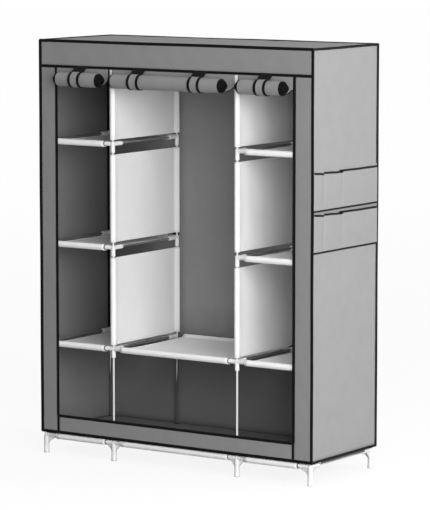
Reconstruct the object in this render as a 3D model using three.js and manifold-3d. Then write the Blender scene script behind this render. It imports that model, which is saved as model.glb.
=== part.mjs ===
import * as THREE from 'three';
import { mergeVertices } from 'three/addons/utils/BufferGeometryUtils.js';
import Module from 'manifold-3d';

const wasm = await Module();
wasm.setup();

// Portable fabric wardrobe
// A plugged tube frame carries cloth shelves and partitions inside a zipped cloth cover.
// Lengths are in millimetres. X runs across the front, -Y faces the user and Z is up.

// Cover
const coverWidth = 1306;
const coverDepth = 480;
const coverTop = 1690;
const clothThickness = 1.5;
const hemClearance = 4;
const topClearance = 0.5;
const valanceDrop = 103;
const sideBorderWidth = 82;
const bottomBorderHeight = 72;

// Gap that two pieces keep where they meet
const seatGap = 0.3;

// Tubes, plastic connectors and feet
const tubeRadius = 4;
const tubeWall = 0.8;
const tubeSides = 8;
const connectorRadius = 9;
const connectorSides = 8;
const connectorChamfer = 2;
const connectorRise = 8;
const armLength = 38;
const outerFootArm = 54;
const stubLength = 58;
const socketDrop = 36;
const footRadius = 11.5;
const footChamfer = 2;
const gussetDrop = 36;
const gussetWaist = 20;
const gussetDip = 22;
const gussetThickness = 8;
const gussetSegments = 4;
const rodClampLength = 30;

// Frame: heights of the rails and places of the posts
const bottomRailHeight = 75;
const bottomBayHeight = 382;
const lowerBayHeight = 410;
const middleBayHeight = 417;
const innerPostOffset = 299;
const rearRailInset = 21.5;

// Cloth shelves and partitions
const sleeveRadius = 11;
const sleeveSides = 12;
const partitionSleeveRadius = 10.5;
const lowerPartitionLift = 16.5;
const middlePartitionLift = 22;
const upperPartitionLift = 16;
const lowerPartitionShortfall = 38.5;
const partitionShortfall = 42;

// Rolled curtains
const rollRadius = 29.5;
const rollTurns = 3.5;
const rollSteps = 12;
const rollCloth = 3;
const rollPitch = 6;
const rollStandoff = 3;
const rollBelowValance = 49.5;
const rollCone = 30;
const leftRollBorderGap = 32;
const leftRollPostGap = 36;
const centreRollLeftGap = 28;
const centreRollRightGap = 44;
const rightRollPostGap = 36;
const rightRollBorderGap = 30.5;
const leadBorderGap = 4;
const leadLeftPostGap = 12;
const leadRightPostGap = 5;

// Straps round the rolls
const strapWidth = 54;
const strapThickness = 1.5;
const strapClearance = 0.5;
const strapSteps = 16;
const strapEndShare = 0.19;
const leftStrapInset = 100;
const centreStrapLeftInset = 120;
const centreStrapRightInset = 115;
const rightStrapInset = 92.5;

// Side pockets
const pocketFrontInset = 9;
const pocketRearInset = 5;
const pocketBag = 6;
const pocketSlant = 16;
const pocketSeam = 3;
const pocketHeight = 147;
const upperPocketBottom = 1067;
const lowerPocketBottom = 906;
const frontPocketWidth = 70;
const middlePocketWidth = 132;

// Places worked out from the sizes above
const frontPlane = -coverDepth / 2;
const backPlane = coverDepth / 2;
const sidePlane = coverWidth / 2;
const railInset = clothThickness + seatGap + sleeveRadius;
const frontRow = frontPlane + railInset;
const rearRow = backPlane - rearRailInset;
const middleRow = (frontRow + rearRow) / 2;
const outerPost = sidePlane - railInset;
const hemHeight = bottomRailHeight + sleeveRadius + hemClearance;
const roofUnderside = coverTop - clothThickness;
const topRail = roofUnderside - topClearance - connectorRadius;
const valanceBottom = coverTop - valanceDrop;
const borderTop = hemHeight + bottomBorderHeight;
const windowEdge = sidePlane - sideBorderWidth;
const levels = [
  bottomRailHeight,
  bottomRailHeight + bottomBayHeight,
  bottomRailHeight + bottomBayHeight + lowerBayHeight,
  bottomRailHeight + bottomBayHeight + lowerBayHeight + middleBayHeight,
];
const rollAxisY = frontPlane - rollStandoff - rollRadius;
const rollAxisZ = valanceBottom - rollBelowValance;

// Materials
const finishes = {
  greyCloth: { color: 0x858585, roughness: 0.9, metalness: 0 },
  whiteCloth: { color: 0xe4e4e4, roughness: 0.9, metalness: 0 },
  whitePlastic: { color: 0xe8e8e8, roughness: 0.45, metalness: 0 },
  darkTube: { color: 0x4a4a4a, roughness: 0.4, metalness: 0.6 },
  strapCloth: { color: 0x787878, roughness: 0.9, metalness: 0 },
};

const wardrobe = new THREE.Group();
const body = new THREE.Group();
wardrobe.add(body);

function solidOf(geometry) {
  const bare = geometry.clone();
  bare.deleteAttribute('normal');
  bare.deleteAttribute('uv');
  const merged = mergeVertices(bare);
  const index = merged.getIndex().array;
  const kept = [];
  for (let i = 0; i < index.length; i += 3) {
    const [a, b, c] = [index[i], index[i + 1], index[i + 2]];
    if (a !== b && b !== c && c !== a) {
      kept.push(a, b, c);
    }
  }
  return new wasm.Manifold(new wasm.Mesh({
    numProp: 3,
    vertProperties: new Float32Array(merged.getAttribute('position').array),
    triVerts: new Uint32Array(kept),
  }));
}

function joined(solids) {
  return solids.reduce((all, next) => all.add(next));
}

function addPiece(name, solid, finish) {
  const mesh = solid.getMesh();
  const geometry = new THREE.BufferGeometry();
  geometry.setAttribute('position', new THREE.BufferAttribute(mesh.vertProperties, 3));
  geometry.setIndex(new THREE.BufferAttribute(mesh.triVerts, 1));
  geometry.computeVertexNormals();
  const piece = new THREE.Mesh(geometry, new THREE.MeshStandardMaterial(finishes[finish]));
  piece.name = name;
  body.add(piece);
  return piece;
}

function block(xRange, yRange, zRange) {
  const [width, depth, height] = [xRange, yRange, zRange].map(([low, high]) => high - low);
  const geometry = new THREE.BoxGeometry(width, depth, height);
  const [x, y, z] = [xRange, yRange, zRange].map(([low, high]) => (low + high) / 2);
  geometry.translate(x, y, z);
  return solidOf(geometry);
}

// A turned solid whose profile is given as [radius, place along the direction]
function turned(profile, sides, direction, start) {
  const points = profile.map(([radius, along]) => new THREE.Vector2(radius, along));
  const geometry = new THREE.LatheGeometry(points, sides);
  const up = new THREE.Vector3(0, 1, 0);
  geometry.applyQuaternion(new THREE.Quaternion().setFromUnitVectors(up, direction));
  geometry.translate(start.x, start.y, start.z);
  return solidOf(geometry);
}

function rod(radius, sides, direction, start, length) {
  return turned([[0, 0], [radius, 0], [radius, length], [0, length]], sides, direction, start);
}

// A rod whose far end is chamfered, as the plugs of the connectors are
function plug(radius, chamfer, direction, start, length) {
  const profile = [[0, 0], [radius, 0], [radius, length - chamfer], [radius - chamfer, length], [0, length]];
  return turned(profile, connectorSides, direction, start);
}

function hollowTube(direction, start, length) {
  const inner = tubeRadius - tubeWall;
  const profile = [[inner, 0], [tubeRadius, 0], [tubeRadius, length], [inner, length], [inner, 0]];
  return turned(profile, tubeSides, direction, start);
}

const right = new THREE.Vector3(1, 0, 0);
const left = new THREE.Vector3(-1, 0, 0);
const back = new THREE.Vector3(0, 1, 0);
const front = new THREE.Vector3(0, -1, 0);
const up = new THREE.Vector3(0, 0, 1);

function place(x, y, z) {
  return new THREE.Vector3(x, y, z);
}

// A concave web under an arm of a foot
function gusset(direction, x, y, z, reach) {
  const shape = new THREE.Shape();
  shape.moveTo(0, 0);
  shape.lineTo(0, -gussetDrop);
  shape.lineTo(footRadius, -gussetDrop);
  shape.quadraticCurveTo(gussetWaist, -gussetDip, reach - connectorChamfer, 0);
  shape.lineTo(0, 0);
  const options = { depth: gussetThickness, bevelEnabled: false, curveSegments: gussetSegments };
  const geometry = new THREE.ExtrudeGeometry(shape, options);
  geometry.translate(0, 0, -gussetThickness / 2);
  const across = new THREE.Vector3().crossVectors(direction, up);
  geometry.applyMatrix4(new THREE.Matrix4().makeBasis(direction, up, across));
  geometry.translate(x, y, z);
  return solidOf(geometry);
}

// Cover panels: each is one flat piece of cloth
const insideY = [frontPlane + clothThickness + seatGap, backPlane - clothThickness - seatGap];
const panelTop = roofUnderside - seatGap;
const frontPanel = [frontPlane, frontPlane + clothThickness];
const backPanel = [backPlane - clothThickness, backPlane];
const fullWidth = [-sidePlane, sidePlane];
const leftWall = [-sidePlane, -sidePlane + clothThickness];
const rightWall = [sidePlane - clothThickness, sidePlane];
const panels = {
  cover_top: [fullWidth, [frontPlane, backPlane], [roofUnderside, coverTop]],
  cover_back: [fullWidth, backPanel, [hemHeight, panelTop]],
  cover_left_side: [leftWall, insideY, [hemHeight, panelTop]],
  cover_right_side: [rightWall, insideY, [hemHeight, panelTop]],
  cover_valance: [fullWidth, frontPanel, [valanceBottom, panelTop]],
  cover_left_border: [[-sidePlane, -windowEdge], frontPanel, [hemHeight, valanceBottom - seatGap]],
  cover_right_border: [[windowEdge, sidePlane], frontPanel, [hemHeight, valanceBottom - seatGap]],
  cover_bottom_border: [[-windowEdge + seatGap, windowEdge - seatGap], frontPanel, [hemHeight, borderTop]],
};
for (const [name, ranges] of Object.entries(panels)) {
  addPiece(name, block(...ranges), 'greyCloth');
}

// Uprights: a tube with its connectors and its foot
const leftward = [[left, right], [left, right], [left], [left]];
const rightward = [[left, right], [left, right], [right], [right]];
const columns = [
  { name: 'left_outer', x: -outerPost, footArm: outerFootArm, arms: levels.map(() => [right]), top: [right] },
  { name: 'left_inner', x: -innerPostOffset, footArm: armLength, arms: leftward, top: [left, right] },
  { name: 'right_inner', x: innerPostOffset, footArm: armLength, arms: rightward, top: [left, right] },
  { name: 'right_outer', x: outerPost, footArm: outerFootArm, arms: levels.map(() => [left]), top: [left] },
];
const rows = [
  { name: 'front', y: frontRow, inward: back },
  { name: 'rear', y: rearRow, inward: front },
];

function connectorParts(x, y, z, arms, inward, drop, rise, reach) {
  const centre = place(x, y, z);
  const parts = [rod(connectorRadius, connectorSides, up, place(x, y, z - drop), drop + rise)];
  for (const direction of arms) {
    parts.push(plug(connectorRadius, connectorChamfer, direction, centre, reach));
  }
  parts.push(plug(connectorRadius, connectorChamfer, inward, centre, stubLength));
  return parts;
}

function foot({ x, arms, footArm }, y, inward) {
  const height = bottomRailHeight;
  const profile = [[0, 0], [footRadius - footChamfer, 0], [footRadius, footChamfer]];
  profile.push([footRadius, height], [0, height]);
  const parts = [turned(profile, connectorSides, up, place(x, y, 0))];
  for (const direction of arms[0]) {
    parts.push(gusset(direction, x, y, height, footArm));
  }
  parts.push(gusset(inward, x, y, height, armLength));
  return parts;
}

const postTop = topRail - socketDrop - seatGap;
for (const row of rows) {
  for (const column of columns) {
    const postBase = place(column.x, row.y, bottomRailHeight);
    const parts = [rod(tubeRadius, tubeSides, up, postBase, postTop - bottomRailHeight)];
    parts.push(...foot(column, row.y, row.inward));
    levels.forEach((height, level) => {
      const [drop, reach] = level === 0 ? [0, column.footArm] : [socketDrop, armLength];
      const arms = column.arms[level];
      parts.push(...connectorParts(column.x, row.y, height, arms, row.inward, drop, connectorRise, reach));
    });
    addPiece(`upright_${row.name}_${column.name}`, joined(parts), 'whitePlastic');
  }
}

// Depth tubes between the front and rear connectors
const depthStart = frontRow + stubLength + seatGap;
const depthLength = rearRow - stubLength - seatGap - depthStart;
for (const column of columns) {
  levels.forEach((height, level) => {
    const tube = hollowTube(back, place(column.x, depthStart, height), depthLength);
    addPiece(`depth_tube_${column.name}_level_${level}`, tube, level === 0 ? 'whitePlastic' : 'darkTube');
  });
}

// Top frame: rails, depth tubes and connectors under the roof, with clamps for the hanging rod
const topParts = [];
for (const row of rows) {
  topParts.push(rod(tubeRadius, tubeSides, right, place(-outerPost, row.y, topRail), outerPost * 2));
  for (const column of columns) {
    const { x, top } = column;
    topParts.push(...connectorParts(x, row.y, topRail, top, row.inward, socketDrop, connectorRadius, armLength));
  }
}
for (const column of columns) {
  topParts.push(rod(tubeRadius, tubeSides, back, place(column.x, frontRow, topRail), rearRow - frontRow));
}
for (const [x, direction] of [[-innerPostOffset, right], [innerPostOffset, left]]) {
  const clampStart = place(x, middleRow - rodClampLength / 2, topRail);
  topParts.push(rod(connectorRadius, connectorSides, back, clampStart, rodClampLength));
  topParts.push(plug(connectorRadius, connectorChamfer, direction, place(x, middleRow, topRail), armLength));
}
addPiece('top_frame', joined(topParts), 'whitePlastic');

// Hanging rod
const hangingStart = -innerPostOffset + armLength + seatGap;
addPiece('hanging_rod', hollowTube(right, place(hangingStart, middleRow, topRail), -hangingStart * 2), 'darkTube');

// Shelves: a sheet with a sleeve round the front rail and one round the rear rail
function shelf(name, leftPost, rightPost, height) {
  const isBottom = height === bottomRailHeight;
  const arm = (post) => (isBottom && Math.abs(post) === outerPost ? outerFootArm : armLength);
  const start = leftPost + arm(leftPost) + seatGap;
  const end = rightPost - arm(rightPost) - seatGap;
  const sheet = [height - clothThickness / 2, height + clothThickness / 2];
  addPiece(name, joined([
    rod(sleeveRadius, sleeveSides, right, place(start, frontRow, height), end - start),
    rod(sleeveRadius, sleeveSides, right, place(start, rearRow, height), end - start),
    block([start, end], [frontRow, rearRow], sheet),
  ]), 'whiteCloth');
}

const bays = {
  left: [-outerPost, -innerPostOffset],
  centre: [-innerPostOffset, innerPostOffset],
  right: [innerPostOffset, outerPost],
};
const shelfLevels = { left: [0, 1, 2, 3], centre: [0, 1], right: [0, 1, 2, 3] };
for (const [bay, posts] of Object.entries(bays)) {
  for (const level of shelfLevels[bay]) {
    const kind = level === 0 ? 'floor_sheet' : `shelf_level_${level}`;
    shelf(`${kind}_${bay}`, ...posts, levels[level]);
  }
}

// Openings in a cloth round the front and the rear post at x
function postBores(x) {
  const boreRadius = tubeRadius + seatGap / Math.cos(Math.PI / tubeSides);
  return joined(rows.map((row) => rod(boreRadius, tubeSides, up, place(x, row.y, 0), coverTop)));
}

// Floor of the cover: a sheet that lies on the sleeves of the bottom rails
const floorHeight = bottomRailHeight + sleeveRadius + seatGap;
const floorX = [-sidePlane + clothThickness, sidePlane - clothThickness];
const floorSheet = block(floorX, insideY, [floorHeight, floorHeight + clothThickness]);
const floorBores = columns.map((column) => postBores(column.x));
addPiece('cover_floor', floorSheet.subtract(joined(floorBores)), 'greyCloth');

// Partitions: a sheet with a sleeve round the front post and one round the rear post
function partition(name, x, low, high) {
  const sheet = block([x - clothThickness / 2, x + clothThickness / 2], [frontRow, rearRow], [low, high]);
  const sleeves = rows.map((row) => rod(partitionSleeveRadius, sleeveSides, up, place(x, row.y, low), high - low));
  addPiece(name, joined([sheet, ...sleeves]).subtract(postBores(x)), 'whiteCloth');
}

const storeys = {
  lower: [levels[1] + lowerPartitionLift, levels[2] - lowerPartitionShortfall],
  middle: [levels[2] + middlePartitionLift, levels[3] - partitionShortfall],
  upper: [levels[3] + upperPartitionLift, topRail - partitionShortfall],
};
for (const [side, x] of [['left', -innerPostOffset], ['right', innerPostOffset]]) {
  for (const [storey, [low, high]] of Object.entries(storeys)) {
    partition(`partition_${side}_${storey}`, x, low, high);
  }
}

// A band of cloth along a path in the YZ plane; extent gives its two ends along X at each point
function band(path, thickness, extent) {
  const corners = [];
  path.forEach((point, i) => {
    const before = path[Math.max(i - 1, 0)];
    const after = path[Math.min(i + 1, path.length - 1)];
    const along = after.clone().sub(before).normalize();
    const normal = new THREE.Vector2(-along.y, along.x).multiplyScalar(thickness / 2);
    const [start, end] = extent(i);
    for (const [x, side] of [[start, 1], [end, 1], [end, -1], [start, -1]]) {
      corners.push(x, point.x + side * normal.x, point.y + side * normal.y);
    }
  });
  const faces = [];
  const quad = (a, b, c, d) => faces.push(a, b, c, a, c, d);
  quad(3, 2, 1, 0);
  for (let i = 0; i + 1 < path.length; i += 1) {
    for (let k = 0; k < 4; k += 1) {
      const [here, next] = [i * 4 + k, i * 4 + (k + 1) % 4];
      quad(here, next, next + 4, here + 4);
    }
  }
  const last = (path.length - 1) * 4;
  quad(last, last + 1, last + 2, last + 3);
  return new wasm.Manifold(new wasm.Mesh({
    numProp: 3,
    vertProperties: new Float32Array(corners),
    triVerts: new Uint32Array(faces),
  }));
}

// Rolled curtains: the cloth hangs from the valance and winds in from the back of the roll,
// each turn a little longer than the one outside it
const leadTop = valanceBottom - seatGap;
const leadBack = frontPlane - seatGap;
const turnRadius = rollRadius - rollCloth / 2;
const rollPath = [new THREE.Vector2(leadBack - rollCloth / 2, leadTop)];
const rollPoints = Math.round(rollTurns * rollSteps);
for (let i = 0; i <= rollPoints; i += 1) {
  const angle = -i * 2 * Math.PI / rollSteps;
  const radius = turnRadius - rollPitch * i / rollSteps;
  rollPath.push(new THREE.Vector2(rollAxisY + radius * Math.cos(angle), rollAxisZ + radius * Math.sin(angle)));
}
const rolls = {
  left: [-windowEdge + leftRollBorderGap, -innerPostOffset - leftRollPostGap],
  centre: [-innerPostOffset + centreRollLeftGap, innerPostOffset - centreRollRightGap],
  right: [innerPostOffset + rightRollPostGap, windowEdge - rightRollBorderGap],
};
const leads = {
  left: [-windowEdge + leadBorderGap, -innerPostOffset - leadLeftPostGap],
  centre: [-innerPostOffset + leadRightPostGap, innerPostOffset - leadRightPostGap],
  right: [innerPostOffset + leadLeftPostGap, windowEdge - leadBorderGap],
};
for (const [name, [start, end]] of Object.entries(rolls)) {
  const extent = (i) => {
    const out = rollCone * (i - 1) / rollPoints;
    return i === 0 ? leads[name] : [start - out, end + out];
  };
  addPiece(`curtain_roll_${name}`, band(rollPath, rollCloth, extent), 'greyCloth');
}

// Straps: each hangs behind the curtain, passes under the roll and comes back over its top
const strapRadius = rollRadius + strapClearance + strapThickness / 2;
const strapPath = [new THREE.Vector2(frontPlane + seatGap + strapThickness / 2, leadTop)];
for (let i = 0; i <= strapSteps; i += 1) {
  const angle = -i / strapSteps * 2 * Math.PI * (1 - strapEndShare);
  const [across, rise] = [strapRadius * Math.cos(angle), strapRadius * Math.sin(angle)];
  strapPath.push(new THREE.Vector2(rollAxisY + across, rollAxisZ + rise));
}
const strapFrontLeg = leadBack - rollCloth - seatGap - strapThickness / 2;
strapPath.push(new THREE.Vector2(strapFrontLeg, leadTop));
const straps = {
  left: rolls.left[0] + leftStrapInset,
  centre_left: rolls.centre[0] + centreStrapLeftInset,
  centre_right: rolls.centre[1] - centreStrapRightInset,
  right: rolls.right[1] - rightStrapInset,
};
for (const [name, x] of Object.entries(straps)) {
  const extent = () => [x - strapWidth / 2, x + strapWidth / 2];
  addPiece(`strap_${name}`, band(strapPath, strapThickness, extent), 'strapCloth');
}

// Side pockets: three bags side by side, sewn to the right side panel and open at the top
const pocketBack = sidePlane + seatGap;
const pocketStart = frontPlane + pocketFrontInset;
const pocketSeams = [
  pocketStart,
  pocketStart + frontPocketWidth,
  pocketStart + frontPocketWidth + middlePocketWidth,
  backPlane - pocketRearInset,
];
const bags = [];
const outerLine = [[pocketSeams[0], 0], [pocketSeams[0], clothThickness]];
for (let i = 0; i + 1 < pocketSeams.length; i += 1) {
  const [seamA, seamB] = [pocketSeams[i] + pocketSeam, pocketSeams[i + 1] - pocketSeam];
  const bag = [[seamA, 0], [seamA + pocketSlant, pocketBag], [seamB - pocketSlant, pocketBag], [seamB, 0]];
  bags.push([[seamA, -pocketBag], ...bag, [seamB, -pocketBag]]);
  outerLine.push(...bag.map(([y, out]) => [y, out + clothThickness]));
}
outerLine.push([pocketSeams[pocketSeams.length - 1], clothThickness], [pocketSeams[pocketSeams.length - 1], 0]);

function bagSlab(outline, low, high) {
  const shape = new THREE.Shape(outline.map(([y, out]) => new THREE.Vector2(pocketBack + out, y)));
  const geometry = new THREE.ExtrudeGeometry(shape, { depth: high - low, bevelEnabled: false });
  geometry.translate(0, 0, low);
  return solidOf(geometry);
}

for (const [name, low] of [['upper', upperPocketBottom], ['lower', lowerPocketBottom]]) {
  const top = low + pocketHeight;
  const outer = bagSlab(outerLine, low, top);
  const inner = bags.map((bag) => bagSlab(bag, low + clothThickness, top + pocketBag));
  addPiece(`side_pocket_${name}`, outer.subtract(joined(inner)), 'greyCloth');
}

// The origin lies on the floor under the middle of the whole object, pockets and rolls included
const furthestRight = pocketBack + pocketBag + clothThickness;
const furthestFront = rollAxisY - strapRadius - strapThickness / 2;
body.position.set((sidePlane - furthestRight) / 2, -(backPlane + furthestFront) / 2, 0);

export default wardrobe;
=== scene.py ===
from math import acos, atan2, cos, hypot, pi, radians, sin, tau

import bmesh
import bpy
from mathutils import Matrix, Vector


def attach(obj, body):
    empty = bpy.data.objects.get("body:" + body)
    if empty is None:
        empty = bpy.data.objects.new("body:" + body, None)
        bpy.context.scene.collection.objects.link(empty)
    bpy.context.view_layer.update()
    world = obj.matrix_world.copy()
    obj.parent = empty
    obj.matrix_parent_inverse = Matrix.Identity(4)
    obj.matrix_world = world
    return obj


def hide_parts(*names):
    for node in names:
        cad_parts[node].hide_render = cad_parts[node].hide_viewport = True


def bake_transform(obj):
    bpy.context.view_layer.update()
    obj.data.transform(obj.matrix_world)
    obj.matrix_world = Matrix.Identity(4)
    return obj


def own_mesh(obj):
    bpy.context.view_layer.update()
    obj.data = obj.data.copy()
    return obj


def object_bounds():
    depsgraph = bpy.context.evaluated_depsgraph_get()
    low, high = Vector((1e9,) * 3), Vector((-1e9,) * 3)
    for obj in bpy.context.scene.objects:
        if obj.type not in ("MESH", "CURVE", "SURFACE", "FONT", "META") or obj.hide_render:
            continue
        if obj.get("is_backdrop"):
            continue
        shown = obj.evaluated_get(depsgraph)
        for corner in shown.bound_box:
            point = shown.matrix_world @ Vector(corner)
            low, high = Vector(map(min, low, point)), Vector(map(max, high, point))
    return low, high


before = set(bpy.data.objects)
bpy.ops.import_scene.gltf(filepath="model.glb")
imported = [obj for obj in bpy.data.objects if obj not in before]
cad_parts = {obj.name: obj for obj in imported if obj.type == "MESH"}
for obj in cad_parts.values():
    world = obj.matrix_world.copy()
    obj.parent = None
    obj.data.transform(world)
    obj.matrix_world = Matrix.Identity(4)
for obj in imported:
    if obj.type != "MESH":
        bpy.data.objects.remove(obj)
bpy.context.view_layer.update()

# Sizes in metres, in the frame of the solids. The cover is centred on x = SX, y = SY.
SX, SY = -0.0039, 0.032
W, D, TOP = 1.306, 0.480, 1.690
CLOTH, GAP = 0.0015, 0.0003
FRONT, BACK = SY - D / 2, SY + D / 2
LEFT, RIGHT = SX - W / 2, SX + W / 2
SLEEVE, CONN, TUBE, FOOT = 0.011, 0.009, 0.004, 0.0115
INSET = CLOTH + GAP + SLEEVE
ROW_F, ROW_R = FRONT + INSET, BACK - 0.0215
INNER_L, INNER_R = SX - 0.299, SX + 0.299
POST = {
    "left_outer": LEFT + INSET,
    "left_inner": INNER_L,
    "right_inner": INNER_R,
    "right_outer": RIGHT - INSET,
}
LEVELS = [0.075, 0.457, 0.867, 1.284]
ROOF = TOP - CLOTH
TOP_RAIL = ROOF - 0.0005 - CONN
HEM = 0.090
FLOOR_TOP = LEVELS[0] + SLEEVE + GAP + CLOTH
VALANCE = TOP - 0.103
BORDER_TOP = HEM + 0.072
EDGE_L, EDGE_R = LEFT + 0.0835, RIGHT - 0.0848
ARM, STUB, SOCKET, RISE = 0.038, 0.058, 0.036, 0.008
FOOT_ARM = {"left_outer": 0.054, "left_inner": ARM, "right_inner": ARM, "right_outer": 0.054}
ROLL_R = 0.0295
ROLL_Y = FRONT - 0.003 - ROLL_R
ROLL_Z = VALANCE - 0.0495
# The two ends in x of each roll, and of each curtain's lead from the valance to its roll
ROLLS = {
    "left": (EDGE_L + 0.032, INNER_L - 0.036),
    "centre": (INNER_L + 0.032, INNER_R - 0.044),
    "right": (INNER_R + 0.036, EDGE_R - 0.0305),
}
LEADS = {
    "left": (EDGE_L + 0.004, INNER_L - 0.012),
    "centre": (INNER_L + 0.008, INNER_R - 0.005),
    "right": (INNER_R + 0.012, EDGE_R - 0.004),
}
STRAPS = {
    "left": ("left", ROLLS["left"][0] + 0.098),
    "centre_left": ("centre", ROLLS["centre"][0] + 0.116),
    "centre_right": ("centre", ROLLS["centre"][1] - 0.115),
    "right": ("right", ROLLS["right"][1] - 0.090),
}
BODY = "wardrobe"
X, Y, Z = Vector((1, 0, 0)), Vector((0, 1, 0)), Vector((0, 0, 1))

# Materials


def srgb(value):
    v = value / 255
    return v / 12.92 if v <= 0.04045 else ((v + 0.055) / 1.055) ** 2.4


def grey(value):
    g = srgb(value)
    return (g, g, g, 1)


def feed(node, inputs):
    """Gives a node its inputs: sockets are linked, plain values are written."""
    for key, value in inputs.items():
        if isinstance(value, bpy.types.NodeSocket):
            node.id_data.links.new(value, node.inputs[key])
        else:
            node.inputs[key].default_value = value


class Nodes:
    """A small helper to wire the node tree of a material or a world."""

    def __init__(self, holder, empty=False):
        holder.use_nodes = True
        self.tree = holder.node_tree
        if empty:
            self.tree.nodes.clear()

    def add(self, kind, inputs=None, **settings):
        node = self.tree.nodes.new("ShaderNode" + kind)
        for key, value in settings.items():
            setattr(node, key, value)
        feed(node, inputs or {})
        return node


class Surface(Nodes):
    """The nodes of one material of the object."""

    def __init__(self, name):
        self.material = bpy.data.materials.new(name)
        super().__init__(self.material)
        self.place = self.add("TexCoord").outputs["Object"]

    def noise(self, scale, detail=3, rough=0.55, place=None):
        inputs = {"Vector": place or self.place, "Scale": scale, "Detail": detail, "Roughness": rough}
        return self.add("TexNoise", inputs).outputs["Fac"]

    def stretched(self, scale):
        return self.add("Mapping", {"Vector": self.place, "Scale": scale}).outputs["Vector"]

    def math(self, operation, a, b):
        return self.add("Math", {0: a, 1: b}, operation=operation).outputs[0]

    def ramp(self, value, low, high, start, end):
        inputs = {"Value": value, "From Min": low, "From Max": high, "To Min": start, "To Max": end}
        return self.add("MapRange", inputs).outputs["Result"]

    def mix(self, fac, a, b):
        return self.add("Mix", {0: fac, 6: a, 7: b}, data_type="RGBA").outputs[2]

    def bump(self, height, strength, distance, normal=None):
        inputs = {"Height": height, "Strength": strength, "Distance": distance}
        if normal:
            inputs["Normal"] = normal
        return self.add("Bump", inputs).outputs["Normal"]

    def finish(self, colour, rough, normal, **plain):
        inputs = {"Base Color": colour, "Roughness": rough, "Normal": normal}
        inputs.update((key.replace("_", " "), value) for key, value in plain.items())
        feed(self.tree.nodes["Principled BSDF"], inputs)
        return self.material


def nonwoven(name, level, spread=0.05, dimple=0.0024, crease=0.35, sheen=0.12, painted_low_shade=0):
    """Spun-bonded cloth: a regular grid of pressed dimples, cloudy fibres and soft creases. The last argument
    paints shade: the colour darkens below about half a metre.
    """
    n = Surface(name)
    cells = n.add("TexVoronoi", {"Vector": n.place, "Scale": 1 / dimple, "Randomness": 0.0}, feature="F1")
    pressed = n.ramp(cells.outputs["Distance"], 0.18, 0.42, 0.0, 1.0)
    fibre = n.noise(900, 4, 0.7)
    cloud = n.noise(14, 4, 0.6)
    patch = n.noise(3.1, 2, 0.5)
    tone = n.math("ADD", n.math("MULTIPLY", cloud, 0.6), n.math("MULTIPLY", fibre, 0.4))
    base = srgb(level)
    dark, light, worn = ((min(1, base * share),) * 3 + (1,) for share in (1 - spread, 1 + spread, 1.05))
    colour = n.mix(n.ramp(tone, 0.3, 0.7, 0.0, 1.0), dark, light)
    colour = n.mix(n.ramp(patch, 0.55, 0.75, 0.0, 0.5), colour, worn)
    # Painted shade: below 0.4 m the colour is darkened towards black by this share, fading out by 0.6 m
    if painted_low_shade:
        height = n.add("SeparateXYZ", {"Vector": n.place}).outputs["Z"]
        colour = n.mix(n.ramp(height, 0.40, 0.60, painted_low_shade, 0.0), colour, (0, 0, 0, 1))
    soft = n.bump(n.noise(7.5, 3, 0.5), crease, 0.010)
    fold = n.bump(n.noise(38, 2, 0.5), 0.25 * crease, 0.004, soft)
    fuzz = n.bump(fibre, 0.12, 0.0003, fold)
    normal = n.bump(pressed, 0.22, 0.00025, fuzz)
    rough = n.ramp(tone, 0.2, 0.8, 0.84, 0.96)
    return n.finish(colour, rough, normal, Sheen_Weight=sheen, Sheen_Roughness=0.6, Specular_IOR_Level=0.25)


def binding(name, level, ribs=0.0011):
    """Woven edging tape with a fine diagonal rib."""
    n = Surface(name)
    base = grey(level)
    lighter = grey(min(255, level + 10))
    inputs = {"Vector": n.place, "Scale": 0.32 / ribs, "Distortion": 0.6, "Detail": 1.0}
    wave = n.add("TexWave", inputs, wave_type="BANDS", bands_direction="DIAGONAL")
    fibre = n.noise(1400, 3, 0.6)
    rub = n.noise(30, 3, 0.6)
    tone = n.math("ADD", n.math("MULTIPLY", wave.outputs["Fac"], 0.55), n.math("MULTIPLY", fibre, 0.45))
    colour = n.mix(n.math("MULTIPLY", tone, n.ramp(rub, 0.35, 0.75, 0.15, 0.8)), base, lighter)
    normal = n.bump(tone, 0.35, 0.0003)
    rough = n.ramp(tone, 0.0, 1.0, 0.95, 0.8)
    return n.finish(colour, rough, normal, Sheen_Weight=0.02, Specular_IOR_Level=0.12)


def plastic(name, level):
    """Moulded white plastic with a fine spark texture, flow marks and faint grime."""
    n = Surface(name)
    base = grey(level)
    shade = grey(level - 12)
    spark = n.noise(2600, 2, 0.6)
    flow = n.noise(55, 3, 0.6, n.stretched((1, 1, 0.25)))
    colour = n.mix(n.ramp(flow, 0.5, 0.8, 0.0, 0.6), base, shade)
    normal = n.bump(spark, 0.15, 0.00012, n.bump(flow, 0.1, 0.0012))
    return n.finish(colour, n.ramp(spark, 0.3, 0.7, 0.36, 0.52), normal, Specular_IOR_Level=0.45)


def coated(name, level, metal, low, high, streak_and_reflection=0):
    """Powder-coated thin steel tube: orange peel, long draw lines, rubbed spots, and light and dark streaks
    along it, partly painted reflection.
    """
    n = Surface(name)
    peel = n.noise(1500, 2, 0.5)
    draw = n.noise(400, 2, 0.5, n.stretched((1, 0.02, 1)))
    rub = n.noise(26, 4, 0.65)
    body = grey(level)
    # Light and dark colour streaks along the tube: partly draw marks, partly painted reflection
    if streak_and_reflection:
        along = n.noise(130, 2, 0.5, n.stretched((1, 0.04, 1)))
        body = n.mix(n.ramp(along, 0.35, 0.65, 0.0, 1.0), grey(level - streak_and_reflection), grey(level + streak_and_reflection))
    colour = n.mix(n.ramp(rub, 0.62, 0.8, 0.0, 0.5), body, grey(level + 26))
    normal = n.bump(peel, 0.12, 0.00015, n.bump(draw, 0.08, 0.0002))
    rough = n.ramp(n.math("ADD", peel, rub), 0.6, 1.4, low, high)
    return n.finish(colour, rough, normal, Metallic=metal)


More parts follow.
